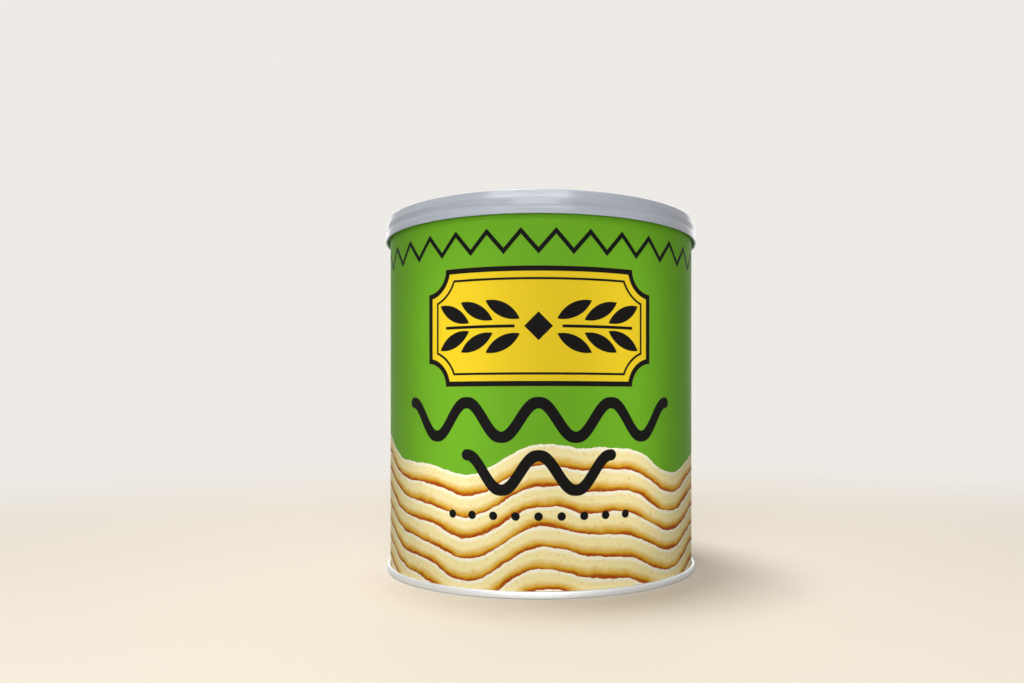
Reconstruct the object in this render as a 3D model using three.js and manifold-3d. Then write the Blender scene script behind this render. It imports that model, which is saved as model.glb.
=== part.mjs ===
// Crisp tube: a short paperboard can with a metal bottom end, a peel-off foil seal over its
// rolled mouth, and a soft push-on overcap. The sealed can is never seen inside, so the tube
// is one solid from the bottom end to the seal.
// Millimetres, +Z up, origin on the axis at the surface that the can stands on.

import * as THREE from "three";
import { mergeVertices } from "three/addons/utils/BufferGeometryUtils.js";
import Module from "manifold-3d";

// Paperboard tube
const TUBE_RADIUS = 37.5; // outside of the straight wall
const TUBE_LENGTH = 83.05; // foot of the wall to the crest of the rolled mouth
const BOARD = 0.85; // thickness of the wall
const BEAD_RADIUS = 1.1; // section of the rolled mouth
const BEAD_PROUD = 0.25; // how far the roll stands outside the wall

// Metal bottom end, folded round the foot of the wall in a seam
const END_SHEET = 0.25; // thickness of the sheet
const SEAM_HEIGHT = 1.6;
const SEAM_PROUD = 0.75; // how far the seam stands outside the wall
const SEAM_FOOT = 0.35; // folded sheet under the foot of the wall
const SEAM_SHOULDER = 0.42; // round on the seam's upper edge
const SEAM_CORNER = 0.18; // round where the seam meets the table
const PANEL_DEPTH = 2.5; // table to the flat panel
const GROOVE_DEPTH = 3.4; // table to the top of the groove round the panel
const GROOVE_WIDTH = 1.9;
const PRESSED_EDGE = 0.3; // breadth of a bend in the pressed sheet
const RING_RADIUS = 22; // stiffening ring pressed in the panel
const RING_WIDTH = 2.6;
const RING_RISE = 0.5;

// Foil seal, wrapped over the crest of the rolled mouth
const FOIL = 0.2;
const FOIL_OUTER_WRAP = 45; // degrees above the horizontal where the foil ends outside
const FOIL_INNER_WRAP = 150; // degrees where it leaves the roll inside
const FOIL_DIP = 1; // crest of the foil down to its flat middle
const TAB_WIDTH = 20; // pull tab, folded back over the foil
const TAB_LENGTH = 17;

// Overcap
const CAP_HEIGHT = 5.1; // lower edge to the flat rim on top
const CAP_TOP = 0.7; // thickness of the top
const CAP_WALL = 0.5; // thickness of the skirt
const CAP_SHOULDER = 0.4; // round between the rim and the skirt
const CAP_TAPER = 0.15; // how far the top of the skirt is drawn in
const TAPER_HEIGHT = 1.85; // rim down to where the taper starts
const CAP_FILLET = 0.4; // round inside, between the top and the skirt
const CAP_RIM = 2; // breadth of the flat rim that the next can stands on
const CAP_RECESS = 0.8; // rim down to the middle of the top
const RECESS_SLOPE = 1; // breadth of the slope into the recess
const HEM_PROUD = 0.18; // lower edge outside the skirt
const HEM_BREADTH = 0.34; // lower edge, across
const HEM_ROUND = 0.15; // round of its outside corner
const LIP_HEIGHT = 0.4; // face of the snap lip
const CREASE_DEPTH = 0.14; // fold line round the skirt, outside
const CREASE_HEIGHT = 0.16;
const CREASE_RISE = 0.25; // snap lip up to the fold line
const GATE_RADIUS = 2; // moulding mark in the middle of the top
const GATE_DEPTH = 0.2;

// Clearances between the pieces
const SEAM_GAP = 0.05; // wall of the tube in the seam
const PANEL_GAP = 0.3; // metal panel to the body of the tube above it
const GLUE_LINE = 0.05; // foil on the roll
const FOIL_GAP = 0.3; // body of the tube to the flat middle of the foil
const CAP_BORE_GAP = 0.2; // skirt round the roll
const LIP_GAP = 0.07; // snap lip round the roll
const CAP_SEAT_GAP = 0.1; // top of the cap over the folded tab

// Faces round the axis, and steps in a round of the section
const SEGMENTS = 60;
const ROUND_STEPS = 3;
const ROLL_STEPS = 10;

const wasm = await Module();
wasm.setup();

const point = (radius, height) => new THREE.Vector2(radius, height);

// Points along an arc of the section, angles in degrees from the outward direction.
function arc(centre, radius, from, to, steps = ROUND_STEPS) {
  return Array.from({ length: steps + 1 }, (_, i) => {
    const angle = THREE.MathUtils.degToRad(from + ((to - from) * i) / steps);
    return point(Math.cos(angle) * radius, Math.sin(angle) * radius).add(centre);
  });
}

// Direction square to the way from a to b, on its left.
function leftOf(a, b) {
  const along = b.clone().sub(a).normalize();
  return point(-along.y, along.x);
}

// The same line moved to its left by a distance, with its corners kept sharp.
function offset(line, distance) {
  return line.map((here, i) => {
    const before = leftOf(line[Math.max(i - 1, 0)], line[Math.max(i, 1)]);
    const last = line.length - 1;
    const after = leftOf(line[Math.min(i, last - 1)], line[Math.min(i + 1, last)]);
    const corner = before.clone().add(after).normalize();
    return corner.multiplyScalar(distance / corner.dot(before)).add(here);
  });
}

// A sheet of even thickness that lies on the line's left.
const sheet = (line, thickness) => [...line, ...offset(line, thickness).reverse()];

// Turns a section round the axis and stands it on +Z. The section runs from axis to axis.
function turned(section) {
  return new THREE.LatheGeometry(section, SEGMENTS).rotateX(Math.PI / 2);
}

function toSolid(geometry) {
  const bare = new THREE.BufferGeometry();
  bare.setAttribute("position", geometry.getAttribute("position"));
  bare.setIndex(geometry.index);
  const merged = mergeVertices(bare);
  return new wasm.Manifold(
    new wasm.Mesh({
      numProp: 3,
      vertProperties: merged.attributes.position.array,
      triVerts: new Uint32Array(merged.index.array),
    }),
  );
}

function toGeometry(solid) {
  const { vertProperties, triVerts } = solid.getMesh();
  const geometry = new THREE.BufferGeometry();
  geometry.setAttribute("position", new THREE.BufferAttribute(vertProperties, 3));
  geometry.setIndex(new THREE.BufferAttribute(triVerts, 1));
  geometry.computeVertexNormals();
  return geometry;
}

// Metal end, heights from the table

const wallInside = TUBE_RADIUS - BOARD;
const chuckOutside = wallInside - SEAM_GAP;
const chuckInside = chuckOutside - END_SHEET;
const seamOutside = TUBE_RADIUS + SEAM_PROUD;

// Underside of the pressed panel, from the axis out to the wall that goes down to the seam.
function panelUnderside() {
  const grooveInside = chuckInside - GROOVE_WIDTH;
  return [
    point(0, PANEL_DEPTH),
    point(RING_RADIUS - RING_WIDTH / 2, PANEL_DEPTH),
    point(RING_RADIUS - RING_WIDTH / 4, PANEL_DEPTH + RING_RISE),
    point(RING_RADIUS + RING_WIDTH / 4, PANEL_DEPTH + RING_RISE),
    point(RING_RADIUS + RING_WIDTH / 2, PANEL_DEPTH),
    point(grooveInside - PRESSED_EDGE, PANEL_DEPTH),
    point(grooveInside + PRESSED_EDGE, GROOVE_DEPTH),
    point(chuckInside - PRESSED_EDGE, GROOVE_DEPTH),
    point(chuckInside, GROOVE_DEPTH - PRESSED_EDGE),
    point(chuckInside, SEAM_FOOT),
  ];
}

function baseEndSection() {
  const underside = panelUnderside();
  const hookInside = TUBE_RADIUS + SEAM_GAP;
  const cornerAt = point(seamOutside - SEAM_CORNER, SEAM_CORNER);
  const shoulderAt = point(seamOutside - SEAM_SHOULDER, SEAM_HEIGHT - SEAM_SHOULDER);
  return [
    ...underside,
    point(chuckInside + END_SHEET, 0),
    ...arc(cornerAt, SEAM_CORNER, -90, 0),
    ...arc(shoulderAt, SEAM_SHOULDER, 0, 90),
    point(hookInside, SEAM_HEIGHT),
    point(hookInside, SEAM_FOOT),
    ...offset(underside, END_SHEET).reverse(),
  ];
}

// Tube, heights from the foot of the wall

const footHeight = SEAM_FOOT + SEAM_GAP;
const rollAt = point(TUBE_RADIUS + BEAD_PROUD - BEAD_RADIUS, TUBE_LENGTH - BEAD_RADIUS);
const rollOutside = rollAt.x + BEAD_RADIUS;
const foilCrest = TUBE_LENGTH + GLUE_LINE + FOIL;
const foilFlat = foilCrest - FOIL_DIP;

function tubeSection() {
  const floor = GROOVE_DEPTH + END_SHEET + PANEL_GAP - footHeight;
  const mouth = foilFlat - FOIL - FOIL_GAP;
  const underRoll = THREE.MathUtils.radToDeg(Math.acos((TUBE_RADIUS - rollAt.x) / BEAD_RADIUS));
  return [
    point(0, floor),
    point(wallInside, floor),
    point(wallInside, 0),
    point(TUBE_RADIUS, 0),
    ...arc(rollAt, BEAD_RADIUS, -underRoll, 180, ROLL_STEPS),
    point(rollAt.x - BEAD_RADIUS, mouth),
    point(0, mouth),
  ];
}

// Underside of the foil: flat in the middle, up through a fillet and over the crest of the roll.
function foilUnderside() {
  const wrap = BEAD_RADIUS + GLUE_LINE;
  const lift = Math.sin(THREE.MathUtils.degToRad(FOIL_INNER_WRAP));
  const fillet = (rollAt.y + wrap * lift - (foilFlat - FOIL)) / (1 - lift);
  const leaves = arc(rollAt, wrap + fillet, FOIL_INNER_WRAP, FOIL_INNER_WRAP, 1)[0];
  return [
    point(0, foilFlat - FOIL),
    ...arc(leaves, fillet, -90, FOIL_INNER_WRAP - 180),
    ...arc(rollAt, wrap, FOIL_INNER_WRAP, FOIL_OUTER_WRAP, 2 * ROUND_STEPS).slice(1),
  ];
}

// Outline of the pull tab from above, running past the foil's edge to be cut by it.
function tabOutline() {
  const edge = rollOutside;
  const half = TAB_WIDTH / 2;
  const roundAt = edge - TAB_LENGTH + half;
  const outline = new THREE.Shape();
  outline.moveTo(edge, -half);
  outline.lineTo(edge, half);
  outline.lineTo(roundAt, half);
  outline.absarc(roundAt, 0, half, Math.PI / 2, (3 * Math.PI) / 2);
  return outline;
}

// The tab is the same foil folded back on itself, so it follows the dished face below it.
function sealGeometry() {
  const underside = foilUnderside();
  const disc = toSolid(turned(sheet(underside, FOIL)));
  const doubled = toSolid(turned(sheet(underside, 2 * FOIL)));
  const tongue = new THREE.ExtrudeGeometry(tabOutline(), {
    depth: foilCrest + FOIL,
    bevelEnabled: false,
    curveSegments: 16,
  });
  return toGeometry(disc.add(doubled.intersect(toSolid(tongue))));
}

// Overcap, heights from the underside of its top, which sits over the folded tab

const capBore = rollOutside + CAP_BORE_GAP;
const lipBore = rollOutside + LIP_GAP;
const skirtOutside = capBore + CAP_WALL;
const hemOutside = skirtOutside + HEM_PROUD;
const seatHeight = footHeight + foilCrest + FOIL + CAP_SEAT_GAP;
const capLower = CAP_TOP - CAP_HEIGHT;
const lipTop = footHeight + rollAt.y - BEAD_RADIUS - seatHeight;
const creaseAt = lipTop + CREASE_RISE;
const rimOutside = skirtOutside - CAP_TAPER - CAP_SHOULDER;
const rimInside = rimOutside - CAP_RIM;

function capOutside() {
  const hemAt = point(hemOutside - HEM_ROUND, capLower + HEM_ROUND);
  const shoulderAt = point(rimOutside, CAP_TOP - CAP_SHOULDER);
  const creaseInside = skirtOutside - CREASE_DEPTH;
  return [
    ...arc(hemAt, HEM_ROUND, -90, 0, 2),
    point(skirtOutside, creaseAt - CREASE_HEIGHT),
    point(creaseInside, creaseAt - CREASE_HEIGHT / 4),
    point(creaseInside, creaseAt + CREASE_HEIGHT / 4),
    point(skirtOutside, creaseAt + CREASE_HEIGHT),
    point(skirtOutside, CAP_TOP - TAPER_HEIGHT),
    ...arc(shoulderAt, CAP_SHOULDER, 0, 90),
    point(rimInside, CAP_TOP),
    point(rimInside - RECESS_SLOPE, CAP_TOP - CAP_RECESS),
    point(GATE_RADIUS, CAP_TOP - CAP_RECESS),
    point(GATE_RADIUS, CAP_TOP - CAP_RECESS - GATE_DEPTH),
    point(0, CAP_TOP - CAP_RECESS - GATE_DEPTH),
  ];
}

function capInside() {
  const filletAt = point(capBore - CAP_FILLET, -CAP_FILLET);
  const slopeOutside = rimInside - CAP_WALL;
  return [
    point(0, -CAP_RECESS),
    point(slopeOutside - RECESS_SLOPE, -CAP_RECESS),
    point(slopeOutside, 0),
    ...arc(filletAt, CAP_FILLET, 90, 0),
    point(capBore, lipTop + (capBore - lipBore)),
    point(lipBore, lipTop),
    point(lipBore, lipTop - LIP_HEIGHT),
    point(hemOutside - HEM_BREADTH, capLower),
  ];
}

const overcapSection = () => [...capInside(), ...capOutside()];

const board = new THREE.MeshStandardMaterial({ color: 0x6fb029, roughness: 0.45 });
const tinplate = new THREE.MeshStandardMaterial({ color: 0xeceeee, roughness: 0.3, metalness: 0.9 });
const foil = new THREE.MeshStandardMaterial({ color: 0xc9cccf, roughness: 0.35, metalness: 0.9 });
const capPlastic = new THREE.MeshStandardMaterial({ color: 0xc9ced4, roughness: 0.4 });

function piece(name, geometry, material, height) {
  const mesh = new THREE.Mesh(geometry, material);
  mesh.name = name;
  mesh.position.z = height;
  return mesh;
}

const can = new THREE.Group();
can.add(
  piece("base_end", turned(baseEndSection()), tinplate, 0),
  piece("tube_body", turned(tubeSection()), board, footHeight),
  piece("peel_seal", sealGeometry(), foil, footHeight),
);

const crispTube = new THREE.Group();
crispTube.add(can, piece("overcap", turned(overcapSection()), capPlastic, seatHeight));

export default crispTube;
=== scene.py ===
import math

import bmesh
import bpy
from bpy.props import FloatProperty, FloatVectorProperty, IntProperty, PointerProperty
from bpy.types import Operator, Panel, PropertyGroup
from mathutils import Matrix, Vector, noise


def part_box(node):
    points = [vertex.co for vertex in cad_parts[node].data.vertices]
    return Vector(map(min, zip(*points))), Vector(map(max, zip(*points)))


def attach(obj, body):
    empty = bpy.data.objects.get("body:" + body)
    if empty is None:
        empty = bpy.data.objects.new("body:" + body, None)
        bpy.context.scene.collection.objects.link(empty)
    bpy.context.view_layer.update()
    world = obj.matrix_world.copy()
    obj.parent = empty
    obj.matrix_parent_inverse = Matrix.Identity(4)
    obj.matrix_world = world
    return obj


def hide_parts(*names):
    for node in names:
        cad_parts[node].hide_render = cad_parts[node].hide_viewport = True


bl_info = {
    "name": "Crisp Tube",
    "version": (1, 0, 0),
    "blender": (4, 5, 0),
    "location": "3D View > Sidebar > Crisp Tube",
    "description": "Builds a printed paperboard crisp tube with metal end, foil seal and overcap",
    "category": "Object",
}

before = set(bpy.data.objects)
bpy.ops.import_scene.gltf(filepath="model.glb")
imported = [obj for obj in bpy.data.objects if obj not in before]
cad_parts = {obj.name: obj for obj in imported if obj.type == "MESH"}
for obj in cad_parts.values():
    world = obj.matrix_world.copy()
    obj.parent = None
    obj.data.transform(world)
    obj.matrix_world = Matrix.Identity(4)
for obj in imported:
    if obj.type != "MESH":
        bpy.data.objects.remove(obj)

MM = 0.001


def srgb(red, green, blue):
    """An ink or paint as it is read off a screen, 0 to 255, turned into Blender's linear colour."""
    shares = (value / 255 for value in (red, green, blue))
    return tuple(c / 12.92 if c <= 0.04045 else ((c + 0.055) / 1.055) ** 2.4 for c in shares)


def reach(node):
    """Outer radius of a turned CAD piece, and the heights of its foot and its top."""
    low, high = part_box(node)
    return -low[1], low[2], high[2]


ROLL_RADIUS, TUBE_FOOT, TUBE_TOP = reach("tube_body")
SEAM_RADIUS, TABLE, END_TOP = reach("base_end")
CAP_RADIUS, CAP_FOOT, CAP_TOP = reach("overcap")
FOIL_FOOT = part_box("peel_seal")[0][2]


def length(name, description, default):
    return FloatProperty(
        name=name, description=description, default=default, min=0, unit="LENGTH", precision=5
    )


def colour(name, description, default):
    return FloatVectorProperty(
        name=name, description=description, default=default, subtype="COLOR", size=3, min=0, max=1
    )


class CanSizes(PropertyGroup):
    """Sizes of the board tube, its metal end and the foil seal"""

    steps: IntProperty(
        name="Steps round", description="Faces round the axis of a turned piece", default=288
    )
    roll: length("Roll", "Radius of the section of the rolled mouth", 1.1 * MM)
    roll_proud: length("Roll overhang", "How far the roll stands outside the wall", 0.25 * MM)
    board: length("Board", "Thickness of the wall", 0.85 * MM)
    seam_height: length("Seam height", "Table to the top of the seam", 1.6 * MM)
    seam_shoulder: length("Seam shoulder", "Round on the seam's upper edge", 0.4 * MM)
    seam_line: length("Seam line", "Depth of the rolled line under the shoulder", 0.08 * MM)
    seam_foot: length("Seam foot", "Round where the seam meets the table", 0.35 * MM)
    end_sheet: length("End sheet", "Thickness of the metal sheet", 0.25 * MM)
    seam_gap: length("Seam gap", "Board wall to the seam round it", 0.05 * MM)
    panel_depth: length("Panel depth", "Table to the flat of the metal panel", 2.5 * MM)
    panel_round: length("Panel rounds", "Rounds of the pressed sheet", 0.45 * MM)
    groove_width: length("Groove", "Breadth of the groove round the panel", 1.9 * MM)
    ring_radius: length("Ring radius", "Middle of the stiffening ring in the panel", 22 * MM)
    ring_width: length("Ring width", "Breadth of the stiffening ring", 2.6 * MM)
    ring_rise: length("Ring rise", "Height of the stiffening ring", 0.5 * MM)
    foil: length("Foil", "Thickness of the seal", 0.18 * MM)
    glue: length("Glue", "Sealing layer between the roll and the foil", 0.06 * MM)
    foil_crinkle: length("Crinkle", "Height of the crinkles in the foil", 0.05 * MM)
    tab_width: length("Tab width", "Breadth of the pull tab", 20 * MM)
    tab_length: length("Tab length", "Edge of the foil to the tip of the tab", 17 * MM)
    tab_curl: length("Tab curl", "How far the tip of the tab stands up", 0.12 * MM)
    lap_width: length("Label lap", "Breadth of the label's overlap at the back", 7 * MM)
    label: length("Label", "Thickness of the label paper", 0.09 * MM)


class CapSizes(PropertyGroup):
    """Sizes of the overcap"""

    top: length("Top", "Thickness of the top", 0.7 * MM)
    wall: length("Skirt", "Thickness of the skirt", 0.5 * MM)
    hem: length("Hem", "How far the lower edge stands outside the skirt", 0.18 * MM)
    hem_breadth: length("Hem breadth", "Lower edge, across", 0.34 * MM)
    rim: length("Rim", "Breadth of the flat stacking rim", 2.0 * MM)
    shoulder: length("Shoulder", "Round between the rim and the skirt", 0.4 * MM)
    bead: length("Bead", "How far the skirt swells between the fold line and the taper", 0.1 * MM)
    taper: length("Taper", "How far the top of the skirt is drawn in", 0.3 * MM)
    taper_height: length("Taper height", "Rim down to where the taper starts", 1.85 * MM)
    recess: length("Recess", "Rim down to the middle of the top", 0.8 * MM)
    slope: length("Slope", "Breadth of the slope into the recess", 1.0 * MM)
    crease_height: length("Crease height", "Lower edge up to the fold line", 1.9 * MM)
    crease: length("Crease", "Depth of the fold line round the skirt", 0.14 * MM)
    lip: length("Lip", "How far the inner lip stands in from the skirt", 0.13 * MM)
    lip_height: length("Lip height", "Lower edge up to the top of the lip", 1.65 * MM)
    gate: length("Gate mark", "Radius of the moulding mark", 2.0 * MM)


class PrintSizes(PropertyGroup):
    """Layout of the label's print, laid out flat"""

    zigzag_at: length("Zigzag", "Table to the middle of the zigzag line", 74.2 * MM)
    zigzag_rise: length("Zigzag rise", "Zigzag line, from its middle to its points", 2.1 * MM)
    zigzag_line: length("Zigzag line", "Breadth of the zigzag line", 0.9 * MM)
    plaque_at: length("Plaque", "Table to the middle of the plaque", 56.5 * MM)
    plaque_length: length("Plaque length", "Plaque, from end to end", 52 * MM)
    plaque_height: length("Plaque height", "Plaque, from edge to edge", 25 * MM)
    scoop: length("Scoop", "Radius of the plaque's scooped corners", 5 * MM)
    keyline: length("Keyline", "Breadth of the line round the plaque", 1.1 * MM)
    stroke: length("Stroke", "Breadth of the bold wavy strokes", 2.4 * MM)
    stroke_rise: length("Stroke rise", "Stroke, from its middle to its crests", 3.6 * MM)
    stroke_period: length("Stroke period", "From crest to crest of the strokes", 15.7 * MM)
    dot: length("Dot", "Radius of the small dots", 0.9 * MM)
    waves_at: length("Waves", "Table to the top of the layered waves", 29 * MM)
    wave: length("Wave", "Height of each layered wave", 4.3 * MM)


class Inks(PropertyGroup):
    """Colours of the printed label"""

    green: colour("Green", "Ground of the label", srgb(112, 176, 40))
    yellow: colour("Yellow", "Plaque", srgb(238, 205, 40))
    black: colour("Black", "Keylines and strokes", srgb(22, 21, 20))
    pale: colour("Pale cream", "Upper edge of each wave", srgb(255, 246, 216))
    cream: colour("Cream", "Face of the waves", srgb(250, 233, 170))
    gold: colour("Gold", "Shade of the waves", srgb(222, 170, 42))
    rust: colour("Rust", "Gaps between the waves", srgb(170, 76, 20))


class CrispTubeSettings(PropertyGroup):
    """Everything that a user would change"""

    can: PointerProperty(type=CanSizes)
    cap: PointerProperty(type=CapSizes)
    layout: PointerProperty(type=PrintSizes)
    inks: PointerProperty(type=Inks)


# Turned forms

WELD = 0.001 * MM
SHARP_EDGE = math.radians(40)


def arc(centre, radius, start, stop, steps=8):
    """Points along a round of a section, angles in degrees from the outward direction."""
    angles = (math.radians(start + (stop - start) * i / steps) for i in range(steps + 1))
    return [(centre[0] + radius * math.cos(a), centre[1] + radius * math.sin(a)) for a in angles]


def rounded(corners, radius, steps=5):
    """A bent line with each inner corner rounded off by a curve that starts radius away."""
    line = [corners[0]]
    for before, here, after in zip(corners, corners[1:], corners[2:]):
        a, b, c = Vector(before), Vector(here), Vector(after)
        cut = min(radius, (a - b).length / 2, (c - b).length / 2)
        start = b + (a - b).normalized() * cut
        stop = b + (c - b).normalized() * cut
        for i in range(steps + 1):
            share = i / steps
            on = start.lerp(b, share).lerp(b.lerp(stop, share), share)
            if (on - Vector(line[-1])).length > WELD:
                line.append(tuple(on))
    return [*line, corners[-1]]


def offset(line, distance):
    """The same line moved to its left by a distance, with its corners mitred."""
    points = [Vector(p) for p in line]
    sides = [(b - a).normalized().orthogonal() for a, b in zip(points, points[1:])]
    moved = []
    for here, before, after in zip(points, [sides[0], *sides], [*sides, sides[-1]]):
        middle = (before + after).normalized()
        moved.append(tuple(here + middle * (distance / middle.dot(before))))
    return moved


def turned_form_tree():
    """Geometry nodes that sweep a flat section round the axis into a closed skin."""
    tree = bpy.data.node_groups.new("Turned form", "GeometryNodeTree")
    tree.is_modifier = True
    sockets = tree.interface
    sockets.new_socket("Section", in_out="INPUT", socket_type="NodeSocketGeometry")
    sockets.new_socket("Radius", in_out="INPUT", socket_type="NodeSocketFloat")
    sockets.new_socket("Steps", in_out="INPUT", socket_type="NodeSocketInt")
    sockets.new_socket("Finish", in_out="INPUT", socket_type="NodeSocketMaterial")
    sockets.new_socket("Form", in_out="OUTPUT", socket_type="NodeSocketGeometry")
    nodes, link = tree.nodes, tree.links.new
    given = nodes.new("NodeGroupInput")
    made = nodes.new("NodeGroupOutput")
    outline = nodes.new("GeometryNodeMeshToCurve")
    circle = nodes.new("GeometryNodeCurvePrimitiveCircle")
    sweep = nodes.new("GeometryNodeCurveToMesh")
    weld = nodes.new("GeometryNodeMergeByDistance")
    weld.inputs["Distance"].default_value = WELD
    realize = nodes.new("GeometryNodeRealizeInstances")
    finish = nodes.new("GeometryNodeSetMaterial")
    link(given.outputs["Section"], outline.inputs["Mesh"])
    link(given.outputs["Radius"], circle.inputs["Radius"])
    link(given.outputs["Steps"], circle.inputs["Resolution"])
    link(circle.outputs["Curve"], sweep.inputs["Curve"])
    link(outline.outputs["Curve"], sweep.inputs["Profile Curve"])
    link(sweep.outputs["Mesh"], weld.inputs["Geometry"])
    link(weld.outputs["Geometry"], realize.inputs["Geometry"])
    link(realize.outputs["Geometry"], finish.inputs["Geometry"])
    link(given.outputs["Finish"], finish.inputs["Material"])
    link(finish.outputs["Geometry"], made.inputs["Form"])
    return tree


def set_input(modifier, name, value):
    """Sets one of a modifier's inputs by the identifier of its socket."""
    sockets = modifier.node_group.interface.items_tree
    modifier[next(s.identifier for s in sockets if s.name == name)] = value


def shown(name, mesh):
    """A mesh put in the scene as an object of the same name."""
    piece = bpy.data.objects.new(name, mesh)
    bpy.context.scene.collection.objects.link(piece)
    return piece


def turned(name, section, material, steps):
    """A closed skin round the axis, from (radius, height) points: axis to axis, or a loop."""
    radius = max(r for r, _ in section)
    count = len(section)
    closed = section[0][0] > 0
    edges = [(i, (i + 1) % count) for i in range(count if closed else count - 1)]
    flat = bpy.data.meshes.new(name)
    flat.from_pydata([(r - radius, -z, 0) for r, z in section], edges, [])
    piece = shown(name, flat)
    modifier = piece.modifiers.new("Turned form", "NODES")
    modifier.node_group = bpy.data.node_groups.get("Turned form") or turned_form_tree()
    set_input(modifier, "Radius", radius)
    set_input(modifier, "Steps", steps)
    set_input(modifier, "Finish", material)
    evaluated = piece.evaluated_get(bpy.context.evaluated_depsgraph_get())
    skin = bpy.data.meshes.new_from_object(evaluated)
    piece.modifiers.remove(modifier)
    piece.data = skin
    skin.name = name
    bpy.data.meshes.remove(flat)
    return piece


def seat(piece, body, slot, *nodes):
    """Turns a finished piece's faces outwards, smooths it and says where it belongs."""
    skin = bmesh.new()
    skin.from_mesh(piece.data)
    bmesh.ops.recalc_face_normals(skin, faces=skin.faces)
    skin.to_mesh(piece.data)
    skin.free()
    piece.data.shade_smooth()
    piece.data.set_sharp_from_angle(angle=SHARP_EDGE)
    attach(piece, body)
    if nodes:
        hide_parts(*nodes)


# Materials


class Field:
    """A number that varies over a surface, written with plain arithmetic."""

    def __init__(self, tree, socket):
        self.tree = tree
        self.socket = socket

    def math(self, operation, *others, clamp=False):
        node = self.tree.nodes.new("ShaderNodeMath")
        node.operation = operation
        node.use_clamp = clamp
        for entry, value in zip(node.inputs, (self, *others)):
            if isinstance(value, Field):
                self.tree.links.new(value.socket, entry)
            else:
                entry.default_value = value
        return Field(self.tree, node.outputs[0])

    def __add__(self, other):
        return self.math("ADD", other)

    def __sub__(self, other):
        return self.math("SUBTRACT", other)

    def __mul__(self, other):
        return self.math("MULTIPLY", other)

    def __truediv__(self, other):
        return self.math("DIVIDE", other)

    def __neg__(self):
        return self * -1

    def __abs__(self):
        return self.math("ABSOLUTE")

    def wrap(self, period):
        """The same run over and over, from minus half a period to plus half."""
        return self.math("WRAP", period / 2, -period / 2)

    def sway(self, period, phase=0.0):
        """A sine wave, its phase in degrees."""
        return (self * (2 * math.pi / period) + math.radians(phase)).math("SINE")

    def clamp(self):
        return self.math("ADD", 0, clamp=True)


def away(x, y):
    """Distance of a point from the origin."""
    return (x * x + y * y).math("SQRT")


class Finish:
    """A material with one principled shader, and the means to paint and emboss it."""

    def __init__(self, name, **values):
        self.material = bpy.data.materials.new(name)
        self.material.use_nodes = True
        self.tree = self.material.node_tree
        self.shader = next(n for n in self.tree.nodes if n.type == "BSDF_PRINCIPLED")
        for socket, value in values.items():
            self.shader.inputs[socket.replace("_", " ")].default_value = value
        self.place = self.tree.nodes.new("ShaderNodeTexCoord").outputs["Object"]

    def field(self, socket):
        return Field(self.tree, socket)

    def coordinates(self):
        """Position on the piece, in metres."""
        split = self.tree.nodes.new("ShaderNodeSeparateXYZ")
        self.tree.links.new(self.place, split.inputs[0])
        return [self.field(axis) for axis in split.outputs]

    def grain(self, size, stretch=(1, 1, 1), detail=3.0):
        """Noise around 0.5 whose specks are about size across, in metres."""
        fit = self.tree.nodes.new("ShaderNodeMapping")
        fit.inputs["Scale"].default_value = [share / size for share in stretch]
        specks = self.tree.nodes.new("ShaderNodeTexNoise")
        specks.inputs["Scale"].default_value = 1
        specks.inputs["Detail"].default_value = detail
        self.tree.links.new(self.place, fit.inputs["Vector"])
        self.tree.links.new(fit.outputs["Vector"], specks.inputs["Vector"])
        return self.field(specks.outputs["Fac"])

    def stray(self, size, spread, **grain):
        """Noise around 0 that strays by up to half the spread."""
        return (self.grain(size, **grain) - 0.5) * spread

    def over(self, below, above, cover):
        """One colour laid over another where cover is 1."""
        mix = self.tree.nodes.new("ShaderNodeMix")
        mix.data_type = "RGBA"
        self.tree.links.new(cover.socket, mix.inputs["Factor"])
        for entry, value in ((mix.inputs[6], below), (mix.inputs[7], above)):
            if isinstance(value, bpy.types.NodeSocket):
                self.tree.links.new(value, entry)
            else:
                entry.default_value = (*value, 1)
        return mix.outputs[2]

    def ramp(self, share, stops):
        """Colour picked from a row of (share, colour) stops."""
        node = self.tree.nodes.new("ShaderNodeValToRGB")
        elements = node.color_ramp.elements
        for _ in stops[2:]:
            elements.new(1)
        for element, (at, value) in zip(elements, stops):
            element.position = at
            element.color = (*value, 1)
        self.tree.links.new(share.socket, node.inputs[0])
        return node.outputs[0]

    def paint(self, colour):
        self.tree.links.new(colour, self.shader.inputs["Base Color"])

    def roughen(self, stray):
        """Roughness that strays from the material's own."""
        entry = self.shader.inputs["Roughness"]
        self.tree.links.new((stray + entry.default_value).socket, entry)

    def emboss(self, height):
        """Bump from a height in metres."""
        bump = self.tree.nodes.new("ShaderNodeBump")
        bump.inputs["Distance"].default_value = 1
        self.tree.links.new(height.socket, bump.inputs["Height"])
        self.tree.links.new(bump.outputs["Normal"], self.shader.inputs["Normal"])


# The label's print, laid out flat. Across runs from the middle of the front to the right, and the
# same panel comes again at the back. Up is the height over the table. Each shape is given by the
# distance to its edge, less than 0 inside it.

INK_EDGE = 0.07 * MM
ZIGZAGS = 16  # in a panel
INNER_LINE_AT, INNER_LINE = 2.4, 0.45  # line inside the plaque, in breadths of its keyline
LEAF_LENGTH = 8.4 * MM
LEAF_BREADTH = 2.9 * MM
LEAF_PLACES = ((7.6 * MM, 3.5 * MM), (13.4 * MM, 3.3 * MM), (18.8 * MM, 2.8 * MM))
LEAF_LEAN = math.radians(28)
STEM = 0.32 * MM
STEM_MIDDLE, STEM_REACH = 13 * MM, 8 * MM
LOZENGE = 3.0 * MM
STROKES = ((37 * MM, 2), (26 * MM, 1))  # middle, and crests to each side of it
DOTS_AT, DOT_PITCH, DOT_PAIRS = 17 * MM, 4.8 * MM, 4
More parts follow.
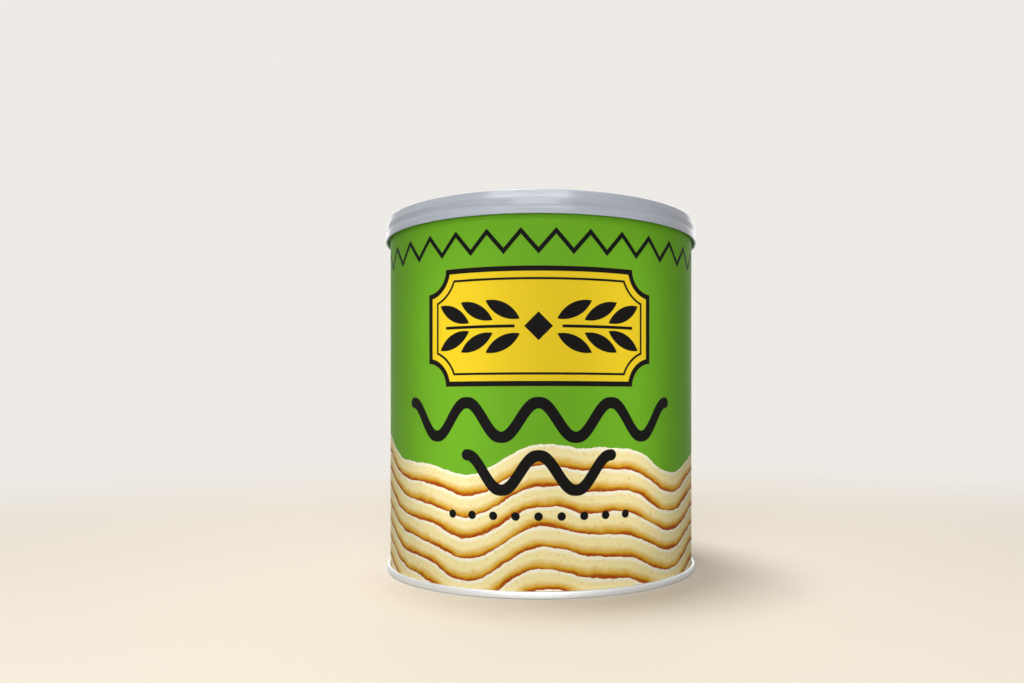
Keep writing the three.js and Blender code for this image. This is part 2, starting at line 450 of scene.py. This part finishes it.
# Sine waves, each by its runs in a panel, its phase in degrees and its size
CREST_SWAYS = ((2, 40, 3.2 * MM), (5, 120, 1.1 * MM))
LEAN_SWAYS = ((3, 75, 0.035), (1, 230, 0.045))


def inked(distance):
    """1 within a shape and 0 outside it."""
    return (distance * (-1 / INK_EDGE) + 0.5).clamp()


def common(a, b):
    """What lies in both shapes."""
    return a.math("MAXIMUM", b)


def joined(shape, *others):
    """What lies in any of the shapes."""
    for other in others:
        shape = shape.math("MINIMUM", other)
    return shape


def line_along(distance, breadth):
    """A line that runs along the edge of a shape."""
    return abs(distance) - breadth / 2


def plaque_shape(layout, across, up):
    """A plaque whose four corners are scooped out."""
    x = abs(across) - layout.plaque_length / 2
    y = abs(up - layout.plaque_at) - layout.plaque_height / 2
    return common(common(x, y), away(x, y) * -1 + layout.scoop)


def leaf(x, y, middle):
    """A pointed leaf that leans outwards."""
    radius = (LEAF_LENGTH**2 + LEAF_BREADTH**2) / (4 * LEAF_BREADTH)
    x, y = x - middle[0], y - middle[1]
    along = x * math.cos(LEAF_LEAN) + y * math.sin(LEAF_LEAN)
    side = y * math.cos(LEAF_LEAN) - x * math.sin(LEAF_LEAN)
    return away(along, abs(side) + (radius - LEAF_BREADTH / 2)) - radius


def sprig(layout, across, up):
    """Leaves in pairs along two stems, with a lozenge between them."""
    x, y = abs(across), abs(up - layout.plaque_at)
    lozenge = (x + y - LOZENGE) * math.sqrt(0.5)
    stem = common(y - STEM, abs(x - STEM_MIDDLE) - STEM_REACH)
    return joined(lozenge, stem, *(leaf(x, y, middle) for middle in LEAF_PLACES))


def wavy_stroke(layout, across, up, middle, crests):
    """A bold wavy line with round ends, that many crests to each side of the middle."""
    rise, period = layout.stroke_rise, layout.stroke_period
    ahead = abs(across) - crests * period
    slope = across.sway(period) * (2 * math.pi * rise / period)
    steep = (slope * slope + 1).math("SQRT")
    line = line_along((up - middle - across.sway(period, 90) * rise) / steep, layout.stroke)
    end = away(ahead, up - (middle + rise)) - layout.stroke / 2
    return joined(common(line, ahead), end)


def dots(layout, across, up, middle, pitch, count):
    """A row of small dots, that many to each side of the middle one."""
    spot = away(across.wrap(pitch), up - middle) - layout.dot
    return common(spot, abs(across) - (count + 0.5) * pitch)


def zigzag(layout, across, up, pitch):
    """A line that goes up and down once in each pitch."""
    steep = 4 * layout.zigzag_rise / pitch
    crest = abs(across.wrap(pitch)) * steep - layout.zigzag_rise
    return line_along((up - layout.zigzag_at - crest) / math.hypot(1, steep), layout.zigzag_line)


def swaying(across, panel, sways):
    """Sine waves added up."""
    first, *others = (across.sway(panel / runs, phase) * size for runs, phase, size in sways)
    for other in others:
        first = first + other
    return first


def waves(finish, inks, layout, across, up, panel):
    """Layered waves round the foot: their colour, and the distance from their upper edge."""
    uneven = finish.stray(5 * MM, 1.8 * MM) + finish.stray(1 * MM, 0.3 * MM)
    depth = swaying(across, panel, CREST_SWAYS) + uneven + layout.waves_at - up
    lean = swaying(across, panel, LEAN_SWAYS) + 1
    layer = (depth * lean / layout.wave).math("FRACT")
    baked = finish.stray(9 * MM, 0.5, stretch=(1, 1, 2))
    toasted = (layer + layer * layer * baked).clamp()
    shades = (
        (0.0, inks.pale),
        (0.1, inks.pale),
        (0.22, inks.cream),
        (0.5, inks.cream),
        (0.8, inks.gold),
        (0.93, inks.rust),
        (1.0, inks.rust),
    )
    pores = ((finish.grain(0.8 * MM) - 0.58) * 6).clamp() * 0.45
    return finish.over(finish.ramp(toasted, shades), inks.gold, pores), -depth


def label_finish(settings):
    """Printed label paper under a thin satin lacquer."""
    known = bpy.data.materials.get("Printed label")
    if known:
        return known
    inks, layout = settings.inks, settings.layout
    finish = Finish("Printed label", Roughness=0.45, Specular_IOR_Level=0.04)
    wall = ROLL_RADIUS - settings.can.roll_proud
    panel = math.pi * wall
    x, y, up = finish.coordinates()
    around = x.math("ARCTAN2", -y) * wall
    across = around.wrap(panel)
    worn = (finish.stray(9 * MM, 0.3) + 0.15).clamp()
    ground = finish.over(inks.green, [share * 0.85 for share in inks.green], worn)
    wave_colour, wave_edge = waves(finish, inks, layout, across, up, panel)
    print_colour = finish.over(ground, wave_colour, inked(wave_edge))
    plaque = plaque_shape(layout, across, up)
    print_colour = finish.over(print_colour, inks.yellow, inked(plaque))
    black = joined(
        line_along(plaque + layout.keyline / 2, layout.keyline),
        line_along(plaque + layout.keyline * INNER_LINE_AT, layout.keyline * INNER_LINE),
        sprig(layout, across, up),
        zigzag(layout, across, up, panel / ZIGZAGS),
        *(wavy_stroke(layout, across, up, middle, crests) for middle, crests in STROKES),
        dots(layout, across, up, DOTS_AT, DOT_PITCH, DOT_PAIRS),
    )
    finish.paint(finish.over(print_colour, inks.black, inked(black)))
    finish.roughen(finish.stray(2.5 * MM, 0.12))
    tooth = finish.grain(0.35 * MM, detail=2.0) * (0.004 * MM)
    winding = (up + around * 0.45).wrap(22 * MM)
    ridge = (abs(winding) * (-1 / (0.8 * MM)) + 1).clamp() * (0.006 * MM)
    finish.emboss(tooth + ridge + finish.grain(14 * MM) * (0.05 * MM))
    return finish.material


def liner_finish():
    """Foil-faced liner that shows on the rolled mouth."""
    finish = Finish("Rolled liner", Metallic=0.7, Roughness=0.38, Base_Color=(0.72, 0.73, 0.75, 1))
    finish.emboss(finish.grain(0.8 * MM, stretch=(1, 1, 3)) * (0.02 * MM))
    return finish.material


def tinplate_finish():
    """Bright tinplate under a clear lacquer."""
    finish = Finish("Tinplate", Metallic=0.75, Roughness=0.5, Base_Color=(0.76, 0.79, 0.82, 1))
    finish.roughen(finish.stray(6 * MM, 0.08))
    finish.emboss(finish.grain(0.6 * MM, stretch=(0.1, 0.1, 1)) * (0.001 * MM))
    return finish.material


def foil_finish():
    """Satin aluminium foil, finely crinkled."""
    finish = Finish("Seal foil", Metallic=1.0, Roughness=0.36, Base_Color=(0.66, 0.67, 0.69, 1))
    finish.roughen(finish.stray(1.5 * MM, 0.15))
    finish.emboss(finish.grain(2.2 * MM, detail=1.0) * (0.03 * MM))
    return finish.material


def cap_finish():
    """Milky, slightly see-through plastic with moulding streaks round the skirt."""
    finish = Finish("Cap plastic", Roughness=0.2, IOR=1.5, Transmission_Weight=0.3)
    streaks = finish.grain(4 * MM, stretch=(0.25, 0.25, 12), detail=1.0)
    milky = ((streaks - 0.5) * 2.5 + 0.5).clamp()
    finish.paint(finish.over((0.53, 0.56, 0.64), (0.63, 0.66, 0.73), milky))
    finish.roughen((streaks - 0.5) * 0.16)
    finish.emboss(streaks * (0.012 * MM) + finish.grain(0.5 * MM) * (0.003 * MM))
    return finish.material


# Pieces

PLUG_GAP = 0.3 * MM  # body of the tube to the metal panel under it and to the foil over it
FOIL_LEAVES, FOIL_ENDS = 150, 48  # degrees round the roll, from outwards over its crest
CRINKLE_BROAD, CRINKLE_FINE = 3.5 * MM, 1.4 * MM
TAB_FACES = (1.05, 1.9)  # over the seal's underside, in thicknesses of the foil


class CRISP_OT_tube(Operator):
    """Board tube with its printed label and rolled mouth"""

    bl_idname = "crisp_tube.tube"
    bl_label = "Board tube"

    def execute(self, context):
        settings = context.scene.crisp_tube
        can = settings.can
        wall = ROLL_RADIUS - can.roll_proud
        roll_at = (ROLL_RADIUS - can.roll, TUBE_TOP - can.roll)
        under_roll = math.degrees(math.acos((wall - roll_at[0]) / can.roll))
        floor = END_TOP + PLUG_GAP
        mouth = FOIL_FOOT - PLUG_GAP
        inner = wall - can.board
        section = [
            (0, floor),
            (inner, floor),
            (inner, TUBE_FOOT),
            (wall, TUBE_FOOT),
            *arc(roll_at, can.roll, -under_roll, 180, 24),
            (roll_at[0] - can.roll, mouth),
            (0, mouth),
        ]
        piece = turned("board_tube", section, label_finish(settings), can.steps)
        piece.data.materials.append(liner_finish())
        roll_foot = roll_at[1] - can.roll * math.sin(math.radians(under_roll))
        for face in piece.data.polygons:
            if face.center.z > roll_foot:
                face.material_index = 1
        seat(piece, "can", "printed_board", "tube_body")
        return {"FINISHED"}


class CRISP_OT_label_lap(Operator):
    """Overlap of the label, down the back of the tube"""

    bl_idname = "crisp_tube.label_lap"
    bl_label = "Label lap"

    def execute(self, context):
        settings = context.scene.crisp_tube
        can = settings.can
        wall = ROLL_RADIUS - can.roll_proud
        foot = TABLE + can.seam_height + can.seam_gap
        top = TUBE_TOP - 2 * can.roll
        steps = 24
        spread = can.lap_width / wall
        columns = []
        for i in range(steps + 1):
            turn = spread * (i / steps - 0.5)
            lift = can.label * min(1.0, 2 * i / steps)
            ring = []
            for radius, height in (
                (wall - can.label, foot),
                (wall + lift, foot),
                (wall + lift, top),
                (wall - can.label, top),
            ):
                ring.append((radius * math.sin(turn), radius * math.cos(turn), height))
            columns.append(ring)
        skin = bmesh.new()
        rows = [[skin.verts.new(p) for p in ring] for ring in columns]
        for here, there in zip(rows, rows[1:]):
            for j in range(4):
                k = (j + 1) % 4
                skin.faces.new((here[j], here[k], there[k], there[j]))
        skin.faces.new(rows[0])
        skin.faces.new(rows[-1][::-1])
        mesh = bpy.data.meshes.new("label_lap")
        skin.to_mesh(mesh)
        skin.free()
        piece = shown("label_lap", mesh)
        piece.data.materials.append(label_finish(settings))
        seat(piece, "can", "printed_board")
        return {"FINISHED"}


class CRISP_OT_bottom_end(Operator):
    """Pressed metal end, seamed round the foot of the tube"""

    bl_idname = "crisp_tube.bottom_end"
    bl_label = "Bottom end"

    def execute(self, context):
        can = context.scene.crisp_tube.can
        wall = ROLL_RADIUS - can.roll_proud
        chuck = wall - can.board - can.seam_gap - can.end_sheet
        groove_top = END_TOP - can.end_sheet
        flat, ring = can.panel_depth, can.ring_radius
        bend = 0.3 * MM
        edge = 0.12 * MM
        underside = rounded(
            [
                (0, flat),
                (ring - can.ring_width / 2, flat),
                (ring - can.ring_width / 4, flat + can.ring_rise),
                (ring + can.ring_width / 4, flat + can.ring_rise),
                (ring + can.ring_width / 2, flat),
                (chuck - can.groove_width - bend, flat),
                (chuck - can.groove_width + bend, groove_top),
                (chuck, groove_top),
                (chuck, can.seam_foot + can.end_sheet),
            ],
            can.panel_round,
        )
        hook = wall + can.seam_gap
        foot_at = (SEAM_RADIUS - can.seam_foot, TABLE + can.seam_foot)
        shoulder_at = (SEAM_RADIUS - can.seam_shoulder, TABLE + can.seam_height - can.seam_shoulder)
        channel = TUBE_FOOT - can.seam_gap
        section = [
            *underside[:-1],
            *arc((chuck + can.end_sheet, TABLE + can.end_sheet), can.end_sheet, 180, 270, 5),
            *arc(foot_at, can.seam_foot, -90, 0, 5),
            *rounded(
                [
                    (SEAM_RADIUS, TABLE + 2 * can.seam_foot),
                    (SEAM_RADIUS, shoulder_at[1] - 2 * can.seam_line),
                    (SEAM_RADIUS - can.seam_line, shoulder_at[1] - can.seam_line),
                    (SEAM_RADIUS, shoulder_at[1]),
                ],
                can.seam_line,
            )[:-1],
            *arc(shoulder_at, can.seam_shoulder, 0, 90),
            *arc((hook + edge, TABLE + can.seam_height - edge), edge, 90, 180, 4),
            (hook, channel),
            (chuck + can.end_sheet, channel),
            *offset(underside[:-1], can.end_sheet)[::-1],
        ]
        piece = turned("metal_end", section, tinplate_finish(), can.steps)
        seat(piece, "can", "tinplate", "base_end")
        return {"FINISHED"}


def crinkle(can, x, y, edge):
    """How far the stretched foil stands off its flat at a place, fading out towards the roll."""
    broad = noise.noise(Vector((x, y, 0)) / CRINKLE_BROAD)
    fine = noise.noise(Vector((x, y, 5 * MM)) / CRINKLE_FINE)
    fade = min(1, 6 * max(0, 1 - math.hypot(x, y) / edge))
    return (broad + 0.6 * fine + 1) * can.foil_crinkle * fade


class CRISP_OT_foil_seal(Operator):
    """Foil seal over the rolled mouth, with its pull tab folded back over it"""

    bl_idname = "crisp_tube.foil_seal"
    bl_label = "Foil seal"

    def execute(self, context):
        can = context.scene.crisp_tube.can
        roll_at = (ROLL_RADIUS - can.roll, TUBE_TOP - can.roll)
        wrap = can.roll + can.glue
        lift = math.sin(math.radians(FOIL_LEAVES))
        fillet = (roll_at[1] + wrap * lift - FOIL_FOOT) / (1 - lift)
        fillet_at = arc(roll_at, wrap + fillet, FOIL_LEAVES, FOIL_LEAVES, 1)[0]
        bend = [
            *arc(fillet_at, fillet, -90, FOIL_LEAVES - 180, 6),
            *arc(roll_at, wrap, FOIL_LEAVES, FOIL_ENDS, 14)[1:],
        ]
        flat = [(r * MM, FOIL_FOOT) for r in range(int(fillet_at[0] / MM))]
        underside = [*flat, *bend]
        foil = foil_finish()
        section = [*underside, *offset(underside, can.foil)[::-1]]
        piece = turned("foil_seal", section, foil, can.steps)
        for vertex in piece.data.vertices:
            vertex.co.z += crinkle(can, vertex.co.x, vertex.co.y, fillet_at[0])
        seat(piece, "can", "foil", "peel_seal")
        tab = shown("pull_tab", self.tab_mesh(can, underside, len(bend), fillet_at[0]))
        tab.data.materials.append(foil)
        seat(tab, "can", "foil")
        return {"FINISHED"}

    def tab_mesh(self, can, underside, bend_points, edge):
        """The tab's two faces and its edge, laid over the foil from the roll to a round tip."""
        half = can.tab_width / 2
        round_at = ROLL_RADIUS - can.tab_length + half
        columns, flat_steps = 24, 14
        skin = bmesh.new()
        layers = []
        for share in TAB_FACES:
            line = offset(underside, can.foil * share)[-bend_points:][::-1]
            grid = []
            for i in range(columns + 1):
                turn = math.pi * (i / columns - 0.5)
                y = half * math.sin(turn)
                tip = math.hypot(round_at - half * math.cos(turn), y)
                start, top = line[-1]
                flats = [
                    (start + (tip - start) * k / flat_steps, top)
                    for k in range(1, flat_steps + 1)
                ]
                row = []
                for j, (radius, z) in enumerate([*line, *flats]):
                    x = math.sqrt(radius**2 - y**2)
                    curl = max(0, 1 - (x - round_at + half) / half)
                    z += crinkle(can, x, y, edge) + curl**2 * can.tab_curl
                    row.append(skin.verts.new((x, y, z)))
                grid.append(row)
            layers.append(grid)
        for here, there in zip(zip(*layers), list(zip(*layers))[1:]):
            (low, high), (next_low, next_high) = here, there
            for j in range(len(low) - 1):
                skin.faces.new((low[j], low[j + 1], next_low[j + 1], next_low[j]))
                skin.faces.new((high[j], next_high[j], next_high[j + 1], high[j + 1]))
            skin.faces.new((low[0], next_low[0], next_high[0], high[0]))
            skin.faces.new((low[-1], high[-1], next_high[-1], next_low[-1]))
        for low, high in ((layers[0][0], layers[1][0]), (layers[0][-1], layers[1][-1])):
            for j in range(len(low) - 1):
                skin.faces.new((low[j], low[j + 1], high[j + 1], high[j]))
        mesh = bpy.data.meshes.new("pull_tab")
        skin.to_mesh(mesh)
        skin.free()
        return mesh


class CRISP_OT_overcap(Operator):
    """Soft overcap with its stacking rim, fold line and inner lip"""

    bl_idname = "crisp_tube.overcap"
    bl_label = "Overcap"

    def execute(self, context):
        can, cap = context.scene.crisp_tube.can, context.scene.crisp_tube.cap
        skirt = CAP_RADIUS - cap.hem
        bore = skirt - cap.wall
        rim = skirt - cap.taper - cap.shoulder
        inner_rim = rim - cap.rim
        crease = CAP_FOOT + cap.crease_height
        lip_top = CAP_FOOT + cap.lip_height
        seat_height = CAP_TOP - cap.top
        recess = CAP_TOP - cap.recess
        hem_in = CAP_RADIUS - cap.hem_breadth
        hem_height, hem_draft = 0.3 * MM, 0.02 * MM
        lip_face = 0.4 * MM
        fold = 0.16 * MM
        gate_depth, gate_edge = 0.12 * MM, 0.3 * MM
        side_round, top_round = 0.14 * MM, 0.35 * MM
        inside_line = rounded(
            [
                (0, recess - cap.top),
                (inner_rim - cap.wall - cap.slope, recess - cap.top),
                (inner_rim - cap.wall, seat_height),
                (bore, seat_height),
                (bore, lip_top + cap.lip),
                (bore - cap.lip, lip_top),
                (bore - cap.lip, lip_top - lip_face),
                (hem_in, CAP_FOOT),
                (CAP_RADIUS, CAP_FOOT),
                (CAP_RADIUS - hem_draft, CAP_FOOT + hem_height),
                (skirt, crease - fold),
                (skirt - cap.crease, crease),
                (skirt - cap.bead, crease + fold),
                (skirt, CAP_TOP - cap.taper_height),
                (skirt - cap.taper, CAP_TOP - cap.shoulder),
            ],
            side_round,
            4,
        )
        top_line = rounded(
            [
                (rim, CAP_TOP),
                (inner_rim, CAP_TOP),
                (inner_rim - cap.slope, recess),
                (cap.gate + gate_edge, recess),
                (cap.gate, recess - gate_depth),
                (0, recess - gate_depth),
            ],
            top_round,
            4,
        )
        shoulder = arc((rim, CAP_TOP - cap.shoulder), cap.shoulder, 0, 90)
        section = [*inside_line[:-1], *shoulder, *top_line[1:]]
        piece = turned("overcap_shell", section, cap_finish(), can.steps)
        seat(piece, "lid", "cap_plastic", "overcap")
        return {"FINISHED"}


# Stage

CAMERA_PLACE = (3.21 * MM, -203.2 * MM, 40.13 * MM)
CAMERA_LENS = 28.16
CAMERA_SHIFT = (-0.0411, 0.0619)
BACKDROP = srgb(238, 235, 230)
FLOOR = srgb(232, 222, 207)
BACKDROP_LIGHT = (0.1, 0.1, 0.1)
FLOOR_LIGHT = (0.3, 0.3, 0.3)
FLOOR_RADIUS = 6
FADE_START, FADE_LENGTH = 0.08, 0.3
# Name, degrees round from the front to the right, degrees up, distance, breadth and height in
# metres, watts, spread in degrees
LAMPS = (
    ("Front softbox", -3, 9, 0.36, 0.2, 0.16, 0.47, 180),
    ("High strip", -8, 38, 0.5, 0.45, 0.05, 0.85, 180),
    ("Back softbox", 178, 20, 0.6, 0.9, 0.6, 1.6, 180),
    ("Top softbox", -125, 80, 1.0, 0.3, 0.3, 6.2, 180),
    ("Left grid", -31, 2, 0.49, 0.012, 0.060, 0.00165, 4.8),
    ("Right grid", 32, 2, 0.49, 0.010, 0.060, 0.0009, 3.6),
)


def softbox(name, azimuth, elevation, distance, breadth, height, watts, spread):
    """A soft lamp that faces the middle of the can."""
    lamp = bpy.data.lights.new(name, "AREA")
    lamp.shape = "RECTANGLE"
    lamp.size, lamp.size_y = breadth, height
    lamp.energy = watts
    lamp.spread = math.radians(spread)
    holder = bpy.data.objects.new(name, lamp)
    bpy.context.scene.collection.objects.link(holder)
    turn, rise = math.radians(azimuth), math.radians(elevation)
    level = math.cos(rise)
    way = Vector((math.sin(turn) * level, -math.cos(turn) * level, math.sin(rise)))
    holder.location = way * distance + Vector((0, 0, CAP_TOP / 2))
    holder.rotation_euler = way.to_track_quat("Z", "Y").to_euler()


def seen_directly(tree):
    """1 where a surface is seen, straight, in metal or through plastic, and 0 where it lights."""
    path = tree.nodes.new("ShaderNodeLightPath")
    seen = Field(tree, path.outputs["Is Camera Ray"])
    for ray in ("Is Glossy Ray", "Is Transmission Ray"):
        seen = seen.math("MAXIMUM", Field(tree, path.outputs[ray]))
    return seen


def shade_by_ray(tree, lighting, shown_as, entry):
    """One colour where the surface is seen and another where it lights the can."""
    mix = tree.nodes.new("ShaderNodeMix")
    mix.data_type = "RGBA"
    mix.inputs[6].default_value = (*lighting, 1)
    mix.inputs[7].default_value = (*shown_as, 1)
    tree.links.new(seen_directly(tree).socket, mix.inputs["Factor"])
    tree.links.new(mix.outputs[2], entry)


def floor_finish():
    """Pale floor that runs into the backdrop away from the can, without a horizon."""
    finish = Finish("Floor", Roughness=0.7, Specular_IOR_Level=0.2)
    tree = finish.tree
    shade_by_ray(tree, FLOOR_LIGHT, FLOOR, finish.shader.inputs["Base Color"])
    x, y, _ = finish.coordinates()
    glow = tree.nodes.new("ShaderNodeEmission")
    glow.inputs["Color"].default_value = (*BACKDROP, 1)
    share = ((away(x, y) - FADE_START) / FADE_LENGTH).clamp()
    far = share * share * (share * -2 + 3) * seen_directly(tree)
    blend = tree.nodes.new("ShaderNodeMixShader")
    output = next(n for n in tree.nodes if n.type == "OUTPUT_MATERIAL")
    tree.links.new(far.socket, blend.inputs[0])
    tree.links.new(finish.shader.outputs[0], blend.inputs[1])
    tree.links.new(glow.outputs[0], blend.inputs[2])
    tree.links.new(blend.outputs[0], output.inputs["Surface"])
    return finish.material


class CRISP_OT_stage(Operator):
    """Plain floor, soft lamps and the camera"""

    bl_idname = "crisp_tube.stage"
    bl_label = "Stage"

    def execute(self, context):
        scene = context.scene
        bpy.ops.mesh.primitive_circle_add(vertices=96, radius=FLOOR_RADIUS, fill_type="NGON")
        floor = context.object
        floor.name = "floor"
        floor.data.materials.append(floor_finish())
        for lamp in LAMPS:
            softbox(*lamp)
        world = bpy.data.worlds.new("Studio")
        world.use_nodes = True
        background = next(n for n in world.node_tree.nodes if n.type == "BACKGROUND")
        shade_by_ray(world.node_tree, BACKDROP_LIGHT, BACKDROP, background.inputs["Color"])
        scene.world = world
        lens = bpy.data.cameras.new("Camera")
        lens.lens = CAMERA_LENS
        lens.shift_x, lens.shift_y = CAMERA_SHIFT
        lens.clip_start = 0.01
        camera = bpy.data.objects.new("Camera", lens)
        camera.location = CAMERA_PLACE
        camera.rotation_euler = (math.pi / 2, 0, 0)
        scene.collection.objects.link(camera)
        scene.camera = camera
        scene.view_settings.view_transform = "Standard"
        return {"FINISHED"}


class CRISP_PT_panel(Panel):
    """Sizes, colours and steps of the crisp tube"""

    bl_idname = "CRISP_PT_panel"
    bl_label = "Crisp Tube"
    bl_space_type = "VIEW_3D"
    bl_region_type = "UI"
    bl_category = "Crisp Tube"

    def draw(self, context):
        settings = context.scene.crisp_tube
        for operator in OPERATORS:
            self.layout.operator(operator.bl_idname)
        for group in (settings.can, settings.cap, settings.layout, settings.inks):
            box = self.layout.box()
            for name in group.__annotations__:
                box.prop(group, name)


OPERATORS = (
    CRISP_OT_tube,
    CRISP_OT_label_lap,
    CRISP_OT_bottom_end,
    CRISP_OT_foil_seal,
    CRISP_OT_overcap,
    CRISP_OT_stage,
)
CLASSES = (
    CanSizes,
    CapSizes,
    PrintSizes,
    Inks,
    CrispTubeSettings,
    *OPERATORS,
    CRISP_PT_panel,
)


def register():
    for cls in CLASSES:
        bpy.utils.register_class(cls)
    bpy.types.Scene.crisp_tube = PointerProperty(type=CrispTubeSettings)


def unregister():
    del bpy.types.Scene.crisp_tube
    for cls in reversed(CLASSES):
        bpy.utils.unregister_class(cls)


def main():
    register()
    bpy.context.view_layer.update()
    bpy.ops.crisp_tube.tube()
    bpy.ops.crisp_tube.label_lap()
    bpy.ops.crisp_tube.bottom_end()
    bpy.ops.crisp_tube.foil_seal()
    bpy.ops.crisp_tube.overcap()
    bpy.ops.crisp_tube.stage()


if __name__ == "__main__":
    main()
